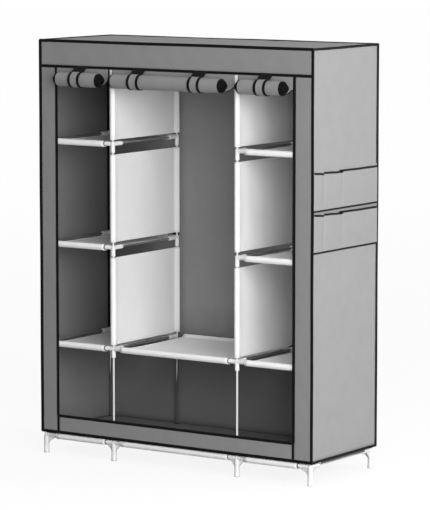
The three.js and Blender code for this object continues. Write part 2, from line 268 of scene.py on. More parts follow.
def thread(name, level):
    n = Surface(name)
    twist = n.add("TexWave", {"Vector": n.place, "Scale": 700.0, "Distortion": 0.4}).outputs["Fac"]
    colour = n.mix(twist, grey(level), grey(min(255, level + 22)))
    return n.finish(colour, 0.7, n.bump(twist, 0.3, 0.0002), Sheen_Weight=0.15)


FRONT_CLOTH = nonwoven("grey_cloth_front", 0x88)
# Painted light: the sides and the pockets take a lighter copy of the same grey cloth, for the stronger light
# on the sides
LIT_SIDE_CLOTH = nonwoven("grey_cloth_side_painted_light", 0x97)
# Painted shade: the top takes a darker copy of the same grey cloth
SHADED_TOP_CLOTH = nonwoven("grey_cloth_top_painted_shade", 0x78)
# Painted shade: the inner faces of the cover are darkened below about half a metre
INNER_CLOTH = nonwoven("grey_cloth_back_painted_low_shade", 0x88, painted_low_shade=0.33)
# Painted shade: the inside of the left side takes a darker copy of the grey cloth
SHADED_LINING = nonwoven("grey_cloth_left_inside_painted_shade", 0x72)
# Painted shade: the cover's floor takes a much darker copy of the grey cloth
SHADED_FLOOR_CLOTH = nonwoven("grey_cloth_floor_painted_shade", 0x4E)
ROLL_CLOTH = nonwoven("grey_cloth_roll", 0x87, crease=0.5)
WHITE_CLOTH = nonwoven("white_cloth", 0xF7, spread=0.02, crease=0.3)
# Painted shade: the flat part of the partitions takes a darker copy of the white cloth
SHADED_PARTITION_CLOTH = nonwoven("white_cloth_partition_painted_shade", 0xE6, spread=0.02, crease=0.3)
SLEEVE_CLOTH = nonwoven("white_cloth_sleeve", 0xEE, spread=0.02, crease=0.2)
# Painted shade: a dark grey cloth for the hem facings, the wraps on the rear posts and the tapes on the rear
# arms, where shade falls
FACING_AND_SHADE_CLOTH = nonwoven("grey_cloth_facing_painted_shade", 0x52)
BINDING = binding("black_binding", 0x07)
PIPING = binding("side_piping", 0x1C)
STRAP_CLOTH = nonwoven("strap_cloth", 0x86, crease=0.1)
PLASTIC = plastic("white_plastic", 0xEC)
WHITE_TUBE = coated("white_tube", 0xE2, 0.0, 0.30, 0.48)
DARK_TUBE = coated("dark_tube", 0x7A, 0.25, 0.34, 0.55, 18)
THREAD_DARK = thread("dark_thread", 0x12)
THREAD_WHITE = thread("white_thread", 0xDA)
THREAD_GREY = thread("grey_thread", 0x96)
ZIP_METAL = coated("zip_teeth", 0x26, 0.0, 0.3, 0.45)
RUBBER = plastic("foot_pad", 0xC8)

# Meshes


def add_object(name, data):
    thing = bpy.data.objects.new(name, data)
    bpy.context.scene.collection.objects.link(thing)
    return thing


class Builder:
    """Collects vertices and faces of one piece."""

    def __init__(self):
        self.points, self.faces, self.kinds = [], [], []

    def add(self, points, faces, kind=0):
        start = len(self.points)
        self.points.extend(Vector(p) for p in points)
        self.faces.extend(tuple(start + i for i in face) for face in faces)
        kinds = kind if isinstance(kind, list) else [kind] * len(faces)
        self.kinds.extend(kinds)

    def grid(self, points, columns, kind=0):
        """A sheet: rows of points, columns in each row."""
        rows = len(points) // columns
        corners = [i * columns + j for i in range(rows - 1) for j in range(columns - 1)]
        self.add(points, [(k, k + 1, k + columns + 1, k + columns) for k in corners], kind)
        return self

    def rings(self, rings, kind=0, cap=True):
        """Joins rings of points, each ring a closed loop."""
        n = len(rings[0])
        points = [p for ring in rings for p in ring]
        faces = []
        for i in range(len(rings) - 1):
            for j in range(n):
                k = (j + 1) % n
                faces.append((i * n + j, i * n + k, (i + 1) * n + k, (i + 1) * n + j))
        if cap:
            faces.append(tuple(reversed(range(n))))
            faces.append(tuple((len(rings) - 1) * n + j for j in range(n)))
        self.add(points, faces, kind)

    def lathe(self, profile, start, direction, sides=28, kind=0, cap=True):
        """A turned form: profile is [(radius, along)] from start."""
        direction = Vector(direction).normalized()
        side = direction.orthogonal().normalized()
        other = direction.cross(side)
        turn = [tau * j / sides for j in range(sides)]
        rings = []
        for radius, along in profile:
            centre = Vector(start) + direction * along
            radius = max(radius, 1e-5)
            rings.append([centre + (side * cos(a) + other * sin(a)) * radius for a in turn])
        self.rings(rings, kind, cap)

    def sweep(self, path, profile, out, kind=0):
        """Sweeps a closed profile of (across, out) along an open path on a surface that faces out."""
        path = [Vector(p) for p in path]
        out = Vector(out).normalized()
        rings = []
        for i, p in enumerate(path):
            along = (path[min(i + 1, len(path) - 1)] - path[max(i - 1, 0)]).normalized()
            across = along.cross(out).normalized()
            rings.append([p + across * a + out * b for a, b in profile])
        self.rings(rings, kind)

    def object(self, name, materials, slot, node=None, thickness=0, offset=0, body=BODY, angle=38):
        """Makes the piece, shaded smooth up to angle, and lets it stand for a node and ride on its body."""
        mesh = bpy.data.meshes.new(name)
        mesh.from_pydata(self.points, [], self.faces)
        for material in materials:
            mesh.materials.append(material)
        for face, kind in zip(mesh.polygons, self.kinds):
            face.material_index = kind
        mesh.update()
        joined = bmesh.new()
        joined.from_mesh(mesh)
        bmesh.ops.remove_doubles(joined, verts=joined.verts, dist=1e-6)
        bmesh.ops.recalc_face_normals(joined, faces=joined.faces)
        joined.to_mesh(mesh)
        joined.free()
        mesh.shade_smooth()
        mesh.set_sharp_from_angle(angle=radians(angle))
        piece = add_object(name, mesh)
        if body:
            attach(piece, body)
        if thickness:
            modifier = piece.modifiers.new("thickness", "SOLIDIFY")
            modifier.thickness, modifier.offset = thickness, offset
        if node:
            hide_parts(node)
        return piece


def steps(low, high, step):
    count = max(1, round((high - low) / step))
    return [low + (high - low) * i / count for i in range(count + 1)]


def shares(count):
    """Numbers from 0 to 1 in count equal steps."""
    return [i / count for i in range(count + 1)]


def ripple(u, v, seed=0.0):
    """A soft wave between about -1 and 1 from a few slow sines."""
    return (
        sin(2.1 * u + 1.3 * v + seed)
        + 0.7 * sin(-1.4 * u + 3.1 * v + 2.2 * seed + 1.0)
        + 0.5 * sin(4.3 * u + 0.6 * v + 3.7 * seed + 2.0)
    ) / 2.2


def ease(distance, reach):
    t = max(0.0, min(1.0, distance / reach))
    return t * t * (3 - 2 * t)


# Cover

# SKIN: a panel's outer face starts this far inside the face of its solid. SHEET: one layer of cloth
SKIN, SHEET = 0.0004, 0.0008


def cloth_panel(
    part, axis, place, across, along, out, bulge, seed, material, step=0.02,
    lining=INNER_CLOTH,
):
    """One panel of the cover: flat at its seams, gently uneven between them."""
    us, vs = steps(*across, step), steps(*along, step)
    across_axis, along_axis = [k for k in range(3) if k != axis]
    points = []
    for v in vs:
        for u in us:
            rim = min(u - across[0], across[1] - u, v - along[0], along[1] - v)
            lift = ease(rim, 0.09) * bulge * (0.55 + 0.45 * ripple(u * 7, v * 5, seed))
            lift += ease(rim, 0.02) * ease(0.12 - rim, 0.08) * 0.25 * bulge * sin(u * 60 + v * 52 + seed)
            p = [0, 0, 0]
            p[axis], p[across_axis], p[along_axis] = place + out * lift, u, v
            points.append(p)
    piece = Builder().grid(points, len(us)).object(
        f"{part}_cloth", [material, lining], "cloth_grey", f"cover_{part}", thickness=CLOTH * 0.8, offset=-1
    )
    if piece.data.polygons[0].normal[axis] * out < 0:
        piece.data.flip_normals()
    piece.modifiers["thickness"].material_offset = 1


WIDTH, DEPTH, WALL = (LEFT, RIGHT), (FRONT, BACK), (FLOOR_TOP - 0.0016, ROOF)
cloth_panel("top", 2, TOP - SKIN, WIDTH, DEPTH, 1, 0.0016, 0.4, SHADED_TOP_CLOTH)
cloth_panel("back", 1, BACK - SKIN, WIDTH, WALL, 1, 0.004, 1.7, FRONT_CLOTH, 0.025)
cloth_panel("left_side", 0, LEFT + SKIN, DEPTH, WALL, -1, 0.0035, 2.6, LIT_SIDE_CLOTH, lining=SHADED_LINING)
cloth_panel("right_side", 0, RIGHT - SKIN, DEPTH, (HEM, ROOF), 1, 0.0016, 3.3, LIT_SIDE_CLOTH)
for part, across, along, bulge, seed in (
    ("valance", WIDTH, (VALANCE, ROOF), 0.002, 4.1),
    ("left_border", (LEFT, EDGE_L), (HEM, VALANCE), 0.0018, 5.2),
    ("right_border", (EDGE_R, RIGHT), (HEM, VALANCE), 0.0018, 6.3),
    ("bottom_border", (EDGE_L, EDGE_R), (HEM, BORDER_TOP), 0.0012, 7.4),
):
    cloth_panel(part, 1, FRONT + SKIN, across, along, -1, bulge, seed, FRONT_CLOTH, 0.012)
cloth_panel(
    "floor", 2, FLOOR_TOP - 0.0003, (LEFT + CLOTH, RIGHT - CLOTH), (FRONT + CLOTH + GAP, BACK - CLOTH - GAP),
    1, -0.0026, 8.5, SHADED_FLOOR_CLOTH,
)

# Bound holes in the cover's floor, one round each post
rim = [(0.0003, -0.0012), (0.0056, -0.0010), (0.0060, 0.0002), (0.0052, 0.0010)]
rim += [(0.0012, 0.0011), (0.0003, 0.0006)]
eyelet = [(TUBE + width, up) for width, up in rim]
eyelets = Builder()
for y in (ROW_F, ROW_R):
    for x in POST.values():
        eyelets.lathe(eyelet, (x, y, FLOOR_TOP), Z, cap=False)
eyelets.object("floor_eyelets", [BINDING], "cloth_grey")

# Facings: a strip of cloth inside each side hem, between the stubs of the feet; its dark grey is painted
# shade under the hem
facings = Builder()
columns = steps(ROW_F + STUB + 0.001, ROW_R - STUB - 0.001, 0.015)
rows = steps(LEVELS[0] + 0.0042, HEM + 0.004, 0.003)
for x in (LEFT + 0.0014, RIGHT - 0.0014):
    points = [
        (x + 0.0005 * sin(y * 45 + z * 90), y, z + 0.0007 * sin(y * 31) * ease(HEM - z, 0.012))
        for z in rows
        for y in columns
    ]
    facings.grid(points, len(columns))
facings.object("hem_facings", [FACING_AND_SHADE_CLOTH], "cloth_grey", thickness=SHEET)

# Edges of the cover


def round_profile(radius, sides=14):
    return [(radius * cos(tau * k / sides), radius * sin(tau * k / sides)) for k in range(sides)]


def strip(half, low, high):
    """The profile of a flat strip."""
    return [(-half, low), (half, low), (half, high), (-half, high)]


def tape(half, low, shoulder, high, bevel):
    """The profile of a flat tape with bevelled outer edges."""
    crown = [(half, shoulder), (half - bevel, high), (-half + bevel, high), (-half, shoulder)]
    return [(-half, low), (half, low)] + crown


def line(a, b, step=0.03, wobble=0.0, seed=0.0):
    """Points from a to b, off the straight line by up to about wobble."""
    a, b = Vector(a), Vector(b)
    length = (b - a).length
    side = (b - a).normalized().orthogonal().normalized()
    other = (b - a).normalized().cross(side)
    points = []
    for t in shares(max(2, round(length / step))):
        s = t * length
        sway = side * sin(9 * s + seed) + other * sin(7 * s + 2.0 * seed + 1.0)
        points.append(a.lerp(b, t) + sway * wobble * sin(pi * t))
    return points


QUAD = ((-1, -1), (1, -1), (1, 1), (-1, 1))
BOX_SIDES = [(0, 1, 5, 4), (1, 2, 6, 5), (2, 3, 7, 6), (3, 0, 4, 7)]
BOX_TOP, BOX_BOTTOM = (4, 5, 6, 7), (3, 2, 1, 0)
STITCH_PITCH, STITCH_LENGTH, STITCH_WIDTH, STITCH_HEIGHT = 0.0052, 0.0034, 0.0007, 0.0006


def stitches(builder, path, out, aside, kind=0):
    """Short raised threads along a path, shifted aside in the surface and lying on out."""
    out = Vector(out).normalized()
    low, high = out * -0.0001, out * STITCH_HEIGHT
    carried = 0.0
    for a, b in zip(path, path[1:]):
        a, b = Vector(a), Vector(b)
        span = (b - a).length
        if span < 1e-6:
            continue
        along = (b - a) / span
        across = along.cross(out).normalized()
        half_length, half_width = along * STITCH_LENGTH / 2, across * STITCH_WIDTH / 2
        s = carried
        while s < span:
            c = a + along * s + across * aside
            points = [c + half_length * i + half_width * j + low for i, j in QUAD]
            points += [c + half_length * i * 0.7 + half_width * j * 0.5 + high for i, j in QUAD]
            builder.add(points, [BOX_TOP] + BOX_SIDES, kind)
            s += STITCH_PITCH
        carried = s - span


def piping(name, a, b, out_a, out_b, material, radius, flange=0.0045, wide=0.0):
    """A round cord in a folded tape, between two panels that face out_a and out_b.

    The tape's flange on the second panel can be wider.
    """
    builder = Builder()
    diagonal = (out_a + out_b).normalized()
    path = line(a, b, 0.03, 0.0005, a[0] * 7 + a[2] * 3)
    builder.sweep([p - diagonal * radius * 0.1 for p in path], round_profile(radius), diagonal)
    for own, other, broad in ((out_a, out_b, flange), (out_b, out_a, flange + wide)):
        middle = [p - other * (radius + broad / 2) * 0.7 + own * 0.0002 for p in path]
        builder.sweep(middle, tape((broad + radius) / 2, -0.0003, 0.0005, 0.0009, 0.0006), own)
        stitches(builder, [p - other * (radius + broad * 0.4) + own * 0.0009 for p in path], own, 0.0, 1)
    builder.object(name, [material, THREAD_DARK], "cloth_grey")


CORNERS = {
    (row, side, end): (x, y, z)
    for row, y in (("front", FRONT), ("back", BACK))
    for side, x in (("left", LEFT), ("right", RIGHT))
    for end, z in (("top", TOP), ("hem", HEM))
}
for row, out, *form in (("front", -Y, BINDING, 0.0048, 0.0020), ("back", Y, PIPING, 0.0034, 0.003)):
    ends = CORNERS[row, "left", "top"], CORNERS[row, "right", "top"]
    piping(f"piping_top_{row}", *ends, out, Z, *form)
for side, out in (("left", -X), ("right", X)):
    ends = CORNERS["front", side, "top"], CORNERS["back", side, "top"]
    piping(f"piping_top_{side}", *ends, out, Z, PIPING, 0.0034, 0.003)
for row, side, out_a, out_b, *form in (
    ("front", "left", -Y, -X, BINDING, 0.0048),
    ("front", "right", -Y, X, BINDING, 0.0036, 0.0026, 0.0036),
    ("back", "left", Y, -X, PIPING, 0.0034, 0.003),
    ("back", "right", Y, X, PIPING, 0.0034, 0.003),
):
    ends = CORNERS[row, side, "hem"], CORNERS[row, side, "top"]
    piping(f"piping_{row}_{side}", *ends, out_a, out_b, *form)


def edging(name, a, b, out, width, material=BINDING, depth=0.0022, rows=(-1,), back=True):
    """A tape folded over an edge of cloth, with its middle line from a to b. back folds it round the edge."""
    builder = Builder()
    path = line(a, b, 0.03, 0.0003, a[0] * 5 + a[2])
    h = width / 2
    low = -0.0016 if back else -0.0003
    profile = [(-h, low + 0.0004), (-h + 0.0007, low), (h - 0.0007, low), (h, low + 0.0004)]
    profile += [(h, depth * 0.55), (h - 0.0012, depth), (-h + 0.0012, depth), (-h, depth * 0.55)]
    builder.sweep(path, profile, out)
    for side in rows:
        stitches(builder, [p + out * depth for p in path], out, side * (h - 0.0016), 1)
    builder.object(name, [material, THREAD_DARK], "cloth_grey")


def front_edge(name, x0, x1, z, width, **form):
    edging(name, (x0, PROUD, z), (x1, PROUD, z), -Y, width, **form)


PROUD = FRONT - 0.0002
front_edge("binding_valance", LEFT, RIGHT, VALANCE - 0.001, 0.0114, rows=(-1, 1))
for side, x in (("left", EDGE_L), ("right", EDGE_R)):
    edging(f"binding_{side}_border", (x, PROUD, HEM), (x, PROUD, VALANCE), -Y, 0.0092)
front_edge("binding_bottom_border", EDGE_L, EDGE_R, BORDER_TOP - 0.001, 0.0113, depth=0.0016)
front_edge("hem_front", LEFT, RIGHT, HEM + 0.0031, 0.0118, depth=0.0018)
edging("hem_right", (RIGHT, FRONT, HEM + 0.0020), (RIGHT, BACK, HEM + 0.0020), X, 0.0106, PIPING)
for part, low, high in (("upper", 1.222, TOP - 0.005), ("lower", HEM + 0.006, 0.902)):
    ends = (RIGHT, BACK - 0.008, low), (RIGHT, BACK - 0.008, high)
    edging(f"tape_rear_{part}", *ends, X, 0.0078, PIPING, 0.0010, (), False)
hem_line = HEM + 0.0035
edging("hem_left", (LEFT, FRONT, hem_line), (LEFT, BACK, hem_line), -X, 0.0075, PIPING, back=False)
edging("hem_back", (LEFT, BACK, hem_line), (RIGHT, BACK, hem_line), Y, 0.0075, PIPING, back=False)


def zip_row(side, x, inward):
    """Half a zip: a tape behind a border's binding, with a row of teeth at its inner edge."""
    builder = Builder()
    y, z0, z1 = FRONT + SKIN, BORDER_TOP + 0.002, VALANCE - 0.003
    width = 0.010
    middle = x + inward * width / 2
    builder.sweep(line((middle, y, z0), (middle, y, z1), 0.05), strip(width / 2, -0.0004, 0.0004), -Y)
    edge = x + inward * width
    x0, x1 = sorted((edge - inward * 0.0012, edge + inward * 0.0016))
    y0, y1 = y - 0.0011, y + 0.0011
    outline = ((x0, y0), (x1, y0), (x1, y1), (x0, y1))
    z = z0 + 0.002
    while z < z1 - 0.002:
        points = [(px, py, pz) for pz in (z, z + 0.0013) for px, py in outline]
        builder.add(points, BOX_SIDES + [BOX_TOP, BOX_BOTTOM], 1)
        z += 0.0029
    builder.object(f"zip_{side}", [BINDING, ZIP_METAL], "cloth_grey")


zip_row("left", EDGE_L - 0.008, 1)
zip_row("right", EDGE_R + 0.008, -1)

# Shelves

BAYS = {
    "left": ("left_outer", "left_inner"),
    "centre": ("left_inner", "right_inner"),
    "right": ("right_inner", "right_outer"),
}


def loop(centre, height, radius, reach, side, offset, slack):
    """A drop-shaped sleeve round a rail, closed at a seam on the inner side: the seam and points (y, z)."""
    spread = acos(radius / hypot(reach, offset))
    lean = atan2(offset, reach)
    points = []
    for t in shares(26):
        a = lean + spread + (tau - 2 * spread) * t
        lift = sin(a) if sin(a) > 0 else slack * sin(a)
        points.append((centre + side * radius * cos(a), height + radius * lift))
    return (centre + side * reach, height + offset), points


def sleeved(height, radius, reach, drop, slack, under, over, flat, inset, spacing):
    """A sheet's section with a sleeve round each row, the ys of its seams and the ys of its flat part.

    A point of the section is (y, other, 1 in a sleeve or else 0).
    """
    (seam_f, base), front = loop(ROW_F, height, radius, reach, 1, drop, slack)
    (seam_r, _), rear = loop(ROW_R, height, radius, reach, -1, drop, slack)
    inner = steps(seam_f + inset, seam_r - inset, spacing)
    path = [(seam_f, base - under, 1)] + [(*p, 1) for p in reversed(front)] + [(seam_f, base + over, 1)]
    path += [(y, flat, 0) for y in inner]
    path += [(seam_r, base + over, 1)] + [(*p, 1) for p in rear] + [(seam_r, base - under, 1)]
    return path, (seam_f, seam_r), inner


def nearest_row(y):
    return ROW_F if y < (ROW_F + ROW_R) / 2 else ROW_R


def shelf(node, bay, height, seed, sag, floor_level):
    """A sheet that runs round the front rail, back across and round the rear rail, in one piece."""
    left_post, right_post = BAYS[bay]
    reach_l, reach_r = [FOOT_ARM[post] if floor_level else ARM for post in (left_post, right_post)]
    start, end = POST[left_post] + reach_l + GAP, POST[right_post] - reach_r - GAP
    radius, drop = SLEEVE - 0.0006, -0.001
    cloth = height + drop
    path, (seam_f, seam_r), inner = sleeved(
        height, radius, 0.019, drop, 1.3, under=0.0011, over=0.0002, flat=cloth, inset=0.004, spacing=0.018
    )
    columns = max(12, round((end - start) / 0.017))

    def level(t, y):
        away = min(y - seam_f, seam_r - y)
        bow = (0.35 + 0.65 * sin(pi * t)) * ease(away, 0.13)
        x = start + (end - start) * t
        return sag * bow + 0.0007 * ripple(x * 22, y * 18, seed) * ease(away, 0.06)

    points = []
    for y, z, sleeve in path:
        for t in shares(columns):
            x = start + (end - start) * t
            py, pz = y, z
            if sleeve:
                d = Vector((0, y - nearest_row(y), z - height))
                if d.length < 0.0125:
                    d.normalize()
                    pucker = 0.00035 * sin(x * 210 + seed) + 0.00025 * sin(x * 95 + 2 * seed)
                    py += d.y * pucker
                    pz += d.z * pucker
            else:
                pz -= level(t, y)
            points.append((x, py, pz))
    kinds = []
    for here, ahead in zip(path, path[1:]):
        # At the floor, the sheets are grey beyond the front sleeve, with grey hems and dark thread, as
        # painted shade in place of their white cloth
        plain = floor_level and (ahead[0] > seam_f + 0.002 or not here[2])
        kinds += [int(plain)] * columns
    piece = Builder().grid(points, columns + 1, kinds).object(
        f"{node}_cloth", [WHITE_CLOTH, INNER_CLOTH], "cloth_white", node, thickness=SHEET, angle=60
    )

    trim = Builder()
    edge_kind, thread_kind = (2, 3) if floor_level else (1, 0)
    z = cloth + 0.0006
    for y in (seam_f + 0.0015, seam_r - 0.0015):
        stitches(trim, line((start + 0.003, y, z), (end - 0.003, y, z), 0.05), Z, 0, thread_kind)
    profile = [(-0.0045, -0.0011), (0.0045, -0.0011), (0.0045, 0.0006), (0.0038, 0.0010), (-0.0045, 0.0010)]
    for x, t, inward in ((start, 0.0, 1), (end, 1.0, -1)):
        ys = steps(inner[0], inner[-1], 0.02)
        hem = [Vector((x + inward * 0.0045, y, cloth - level(t, y))) for y in ys]
        trim.sweep(hem, profile, Z, edge_kind)
        stitches(trim, [p + Z * 0.0010 for p in hem], Z, inward * 0.003, thread_kind)
    # Two rings at each sleeve's ends: a white rim, and a ring in dark thread colour that is painted shade of
    # the gap at the connector
    rim = [(-0.0008, 0), (0.0007, 0), (0.0008, 0.004), (0.0001, 0.0055)]
    edge = [(-0.0010, -0.0002), (0.0010, -0.0002), (0.0011, 0.0009), (0, 0.0011)]
    for y in (ROW_F, ROW_R):
        for x, inward in ((start, 1), (end, -1)):
            for outline, kind in ((rim, 1), (edge, 3)):
                profile = [(radius + out, along) for out, along in outline]
                trim.lathe(profile, (x, y, height), X * inward, 24, kind, cap=False)
    trim.object(f"{node}_cloth_hems", [THREAD_WHITE, SLEEVE_CLOTH, INNER_CLOTH, THREAD_DARK], "cloth_white")
    rails = Builder()
    for y in (ROW_F, ROW_R):
        rails.lathe([(TUBE, -0.004), (TUBE, end - start + 0.004)], (start, y, height), X, 16)
    rails.object(f"{node}_cloth_rails", [WHITE_TUBE], "plastic_white")


for bay, (left_post, _) in BAYS.items():
    sag = 0.006 if bay == "centre" else 0.004
    for level in range(2 if bay == "centre" else 4):
        node = f"shelf_level_{level}_{bay}" if level else f"floor_sheet_{bay}"
        shelf(node, bay, LEVELS[level], level * 1.7 + POST[left_post] * 3, sag, level == 0)

# Partitions


def partition(node, x, low, high, seed):
    """An upright sheet between two posts, with a drop-shaped sleeve round each."""
    radius = 0.0109
    path, (seam_f, seam_r), inner = sleeved(
        0.0, radius, 0.021, 0.0, 1.0, under=0.0009, over=0.0009, flat=0.0005, inset=0.005, spacing=0.02
    )
    zs = steps(low, high, 0.016)
    points = []
    for z in zs:
        rim = min(z - low, high - z)
        for y, dx, sleeve in path:
            py = y
            if not sleeve:
                away = min(y - inner[0], inner[-1] - y)
                free = ease(rim - 0.010, 0.03)
                dx += 0.0012 * ripple(y * 16, z * 11, seed) * ease(away, 0.05) * free
                pull = sin(z * 75 + y * 20 + seed) * ease(away, 0.02) * ease(0.09 - away, 0.07)
                dx += 0.0006 * pull * free
            else:
                centre = nearest_row(y)
                d = Vector((dx, y - centre))
                if d.length < 0.0130:
                    k = 1 + 0.022 * sin(z * 190 + seed) * (0.4 + 0.6 * ease(rim, 0.03))
                    dx, py = d.x * k, centre + d.y * k
            points.append((x + dx, py, z))
    # The sleeves keep the plain white cloth, and the flat part between them takes the darker copy as painted
    # shade
    kinds = [a[2] * b[2] for a, b in zip(path, path[1:])] * (len(zs) - 1)
    piece = Builder().grid(points, len(path), kinds).object(
        f"{node}_cloth", [SHADED_PARTITION_CLOTH, WHITE_CLOTH], "cloth_white", node, thickness=SHEET, angle=60
    )

    trim = Builder()
    for side in (-1, 1):
        px = x + side * 0.0012
        for y in (seam_f + 0.0015, seam_r - 0.0015):
            stitches(trim, line((px, y, low + 0.004), (px, y, high - 0.004), 0.05), X * side, 0)
        px = x + side * 0.0015
        for z in (low + 0.009, high - 0.009):
            stitches(trim, line((px, inner[0], z), (px, inner[-1], z), 0.05), X * side, 0)
    hem = 0.010
    for z in (low, high - hem):
        trim.sweep(line((x, inner[0], z), (x, inner[-1], z), 0.04), strip(0.0014, 0.0, hem), Z, 1)
    rim = [(radius - 0.001, 0), (radius + 0.0006, 0), (radius + 0.0007, 0.005), (radius + 0.0002, 0.006)]
    for y in (ROW_F, ROW_R):
        for z, up in ((low, 1), (high, -1)):
            trim.lathe(rim, (x, y, z), Z * up, 22, 2, cap=False)
    trim.object(f"{node}_cloth_hems", [THREAD_WHITE, SHADED_PARTITION_CLOTH, SLEEVE_CLOTH], "cloth_white")


STOREYS = {
    "lower": (LEVELS[1] + 0.0165, LEVELS[2] - 0.0405),
    "middle": (LEVELS[2] + 0.022, LEVELS[3] - 0.0435),
    "upper": (LEVELS[3] + 0.016, TOP_RAIL - 0.042),
}
for side in ("left", "right"):
    x = POST[f"{side}_inner"]
    for i, (storey, (low, high)) in enumerate(STOREYS.items()):
        partition(f"partition_{side}_{storey}", x, low, high, i * 2.3 + x * 4)

# Short black strips behind the rear posts, from each partition's lower corner to the connector, as painted
# shade in the gaps beside the posts
tapes = Builder()
for x in (INNER_L, INNER_R):
    for level, (low, _) in zip(LEVELS[1:], STOREYS.values()):
        half = (low - level - CONN - 0.0012) / 2
        z = (low + level + CONN) / 2
        path = []
        for t in shares(10):
            y = ROW_R + 0.0052 + 0.0016 * sin(pi * t)
            path.append((x - 0.0225 + 0.031 * t, y, z + 0.0004 * sin(5 * t + level)))
        tapes.sweep(path, tape(half, -0.0004, 0.0003, 0.0006, 0.0006), -Y)
tapes.object("corner_shade_tapes", [BINDING], "cloth_grey")

# Tubes and connectors


def lip_profile(radius, length):
    """A plug: thin waist, a raised collar and a rounded mouth."""
    waist, collar = radius * 0.93, radius * 0.97
    return [
        (waist, 0.0), (waist, length * 0.30), (collar, length * 0.36), (collar, length - 0.0075),
        (radius, length - 0.0068), (radius, length - 0.0016), (radius - 0.0005, length - 0.0004),
        (radius - 0.0016, length), (TUBE, length),
    ]


def connector(builder, x, y, z, arms, inward, drop, rise, reach=ARM):
    """A joint of plugs: arms sideways, a stub to the middle of the depth, a socket down and a domed cap."""
    ring = [(CONN * 0.93, 0.0), (CONN + 0.0002, 0.0004), (CONN + 0.0002, 0.0018), (CONN * 0.93, 0.0022)]
    for direction, length in [(d, reach) for d in arms] + [(inward, STUB)]:
        builder.lathe(lip_profile(CONN, length), (x, y, z), direction)
        builder.lathe(ring, Vector((x, y, z)) + direction * 0.0115, direction, cap=False)
    if drop:
        builder.lathe(lip_profile(CONN, drop), (x, y, z), -Z)
    cap = [(CONN * 0.97, -0.002), (CONN * 0.97, rise - 0.0028), (CONN * 0.88, rise - 0.0011)]
    cap += [(CONN * 0.62, rise - 0.0002), (CONN * 0.3, rise), (0.0, rise)]
    builder.lathe(cap, (x, y, z), Z)


def foot(builder, x, y, arms, inward, foot_arm):
    """A round foot with a curved web under each arm and under the stub."""
    h = LEVELS[0]
    profile = [
        (FOOT - 0.0022, 0.0), (FOOT - 0.0006, 0.0006), (FOOT, 0.0022), (FOOT, 0.0075), (FOOT - 0.0008, 0.009),
        (FOOT - 0.0012, h - 0.03), (FOOT - 0.0012, h - 0.008), (FOOT - 0.003, h + 0.004),
    ]
    builder.lathe(profile, (x, y, 0), Z, 32)
    origin = Vector((x, y, h))
    for d, reach in [(d, foot_arm) for d in arms] + [(inward, ARM)]:
        side = d.cross(Z)
        controls = (FOOT - 0.002, -0.036), (0.0175, -0.020), (reach - 0.003, -0.0085)
        rings = []
        for t in shares(18):
            u, v = ((1 - t) ** 2 * a + 2 * t * (1 - t) * b + t * t * c for a, b, c in zip(*controls))
            ring = []
            for w, back in ((-0.004, 0.0006), (-0.0034, 0.0), (0.0034, 0.0), (0.004, 0.0006)):
                ring.append(origin + d * (u - back) + Z * (v + back) + side * w)
            for w in (0.004, -0.004):
                ring.append(origin + d * 0.002 + Z * min(v + 0.004, -0.001) + side * w)
            rings.append(ring)
        builder.rings(rings)


# The directions of a column's arms at each level. Those under the roof are as at the lowest level
ARMS = {
    "left_outer": [[X]] * 4,
    "left_inner": [[-X, X], [-X, X], [-X], [-X]],
    "right_inner": [[-X, X], [-X, X], [X], [X]],
    "right_outer": [[-X]] * 4,
}
ROWS = {"front": (ROW_F, Y), "rear": (ROW_R, -Y)}
post_top = TOP_RAIL - SOCKET - GAP
pad = [(FOOT - 0.0018, 0.0), (FOOT - 0.0018, 0.0016), (FOOT - 0.003, 0.0017)]
for row, (y, inward) in ROWS.items():
    for column, arms in ARMS.items():
        x = POST[column]
        builder = Builder()
        foot(builder, x, y, arms[0], inward, FOOT_ARM[column])
        builder.lathe(pad, (x, y, 0), Z, kind=2)
        for level, z in enumerate(LEVELS):
            reach = ARM if level else FOOT_ARM[column]
            connector(builder, x, y, z, arms[level], inward, SOCKET if level else 0, RISE, reach)
        builder.lathe([(TUBE, 0), (TUBE, post_top - LEVELS[0])], (x, y, LEVELS[0]), Z, 20, 1)
        materials = [PLASTIC, WHITE_TUBE, RUBBER]
        builder.object(f"post_{row}_{column}", materials, "plastic_white", f"upright_{row}_{column}")

# Cloth of the back wall wraps the lower end of each rear post, up to a slanting opening; its dark grey is
# painted shade over the posts
wraps = Builder()
zs, sides = steps(FLOOR_TOP + 0.0008, 0.415, 0.008), 24
for x in POST.values():
    points = []
    for z in zs:
        cover = 180 - 75 * ease(z - 0.236, 0.080)
        radius = TUBE + 0.0011 + 0.0002 * sin(z * 160 + x * 9)
        for j in range(sides + 1):
            a = radians(65 + cover * (2 * j / sides - 1))
            points.append((x + radius * cos(a), ROW_R + radius * sin(a), z))
    wraps.grid(points, sides + 1)
wraps.object("post_wraps_painted_shade", [FACING_AND_SHADE_CLOTH], "cloth_grey", thickness=0.0006)

# Bound seam allowance of the rear corners, folded round the outer side of each rear outer post; its black
# also paints the shade in the rear inside corners
folds = Builder()
sides = 16
for column, mirror in (("left_outer", 1), ("right_outer", -1)):
    for lower, upper in zip(LEVELS[1:], LEVELS[2:] + [TOP_RAIL]):
        zs = steps(lower + 0.0115, upper - 0.0115, 0.012)
        points = []
        for z in zs:
            clear = CONN + 0.0010 if z > upper - SOCKET - 0.002 else TUBE + 0.0010
            start = -67 - 22 * ease(z - LEVELS[3], 0.25)
            for t in shares(sides):
                a = radians(start + (-215 - start) * t)
                radius = max(clear, clear + (0.0105 - clear) * ease(t, 0.5))
                radius += 0.0003 * sin(z * 130 + 5 * t)
                points.append((POST[column] + mirror * radius * cos(a), ROW_R + radius * sin(a), z))
        folds.grid(points, sides + 1)
folds.object("corner_folds_and_shade", [BINDING], "cloth_grey", thickness=0.0006)

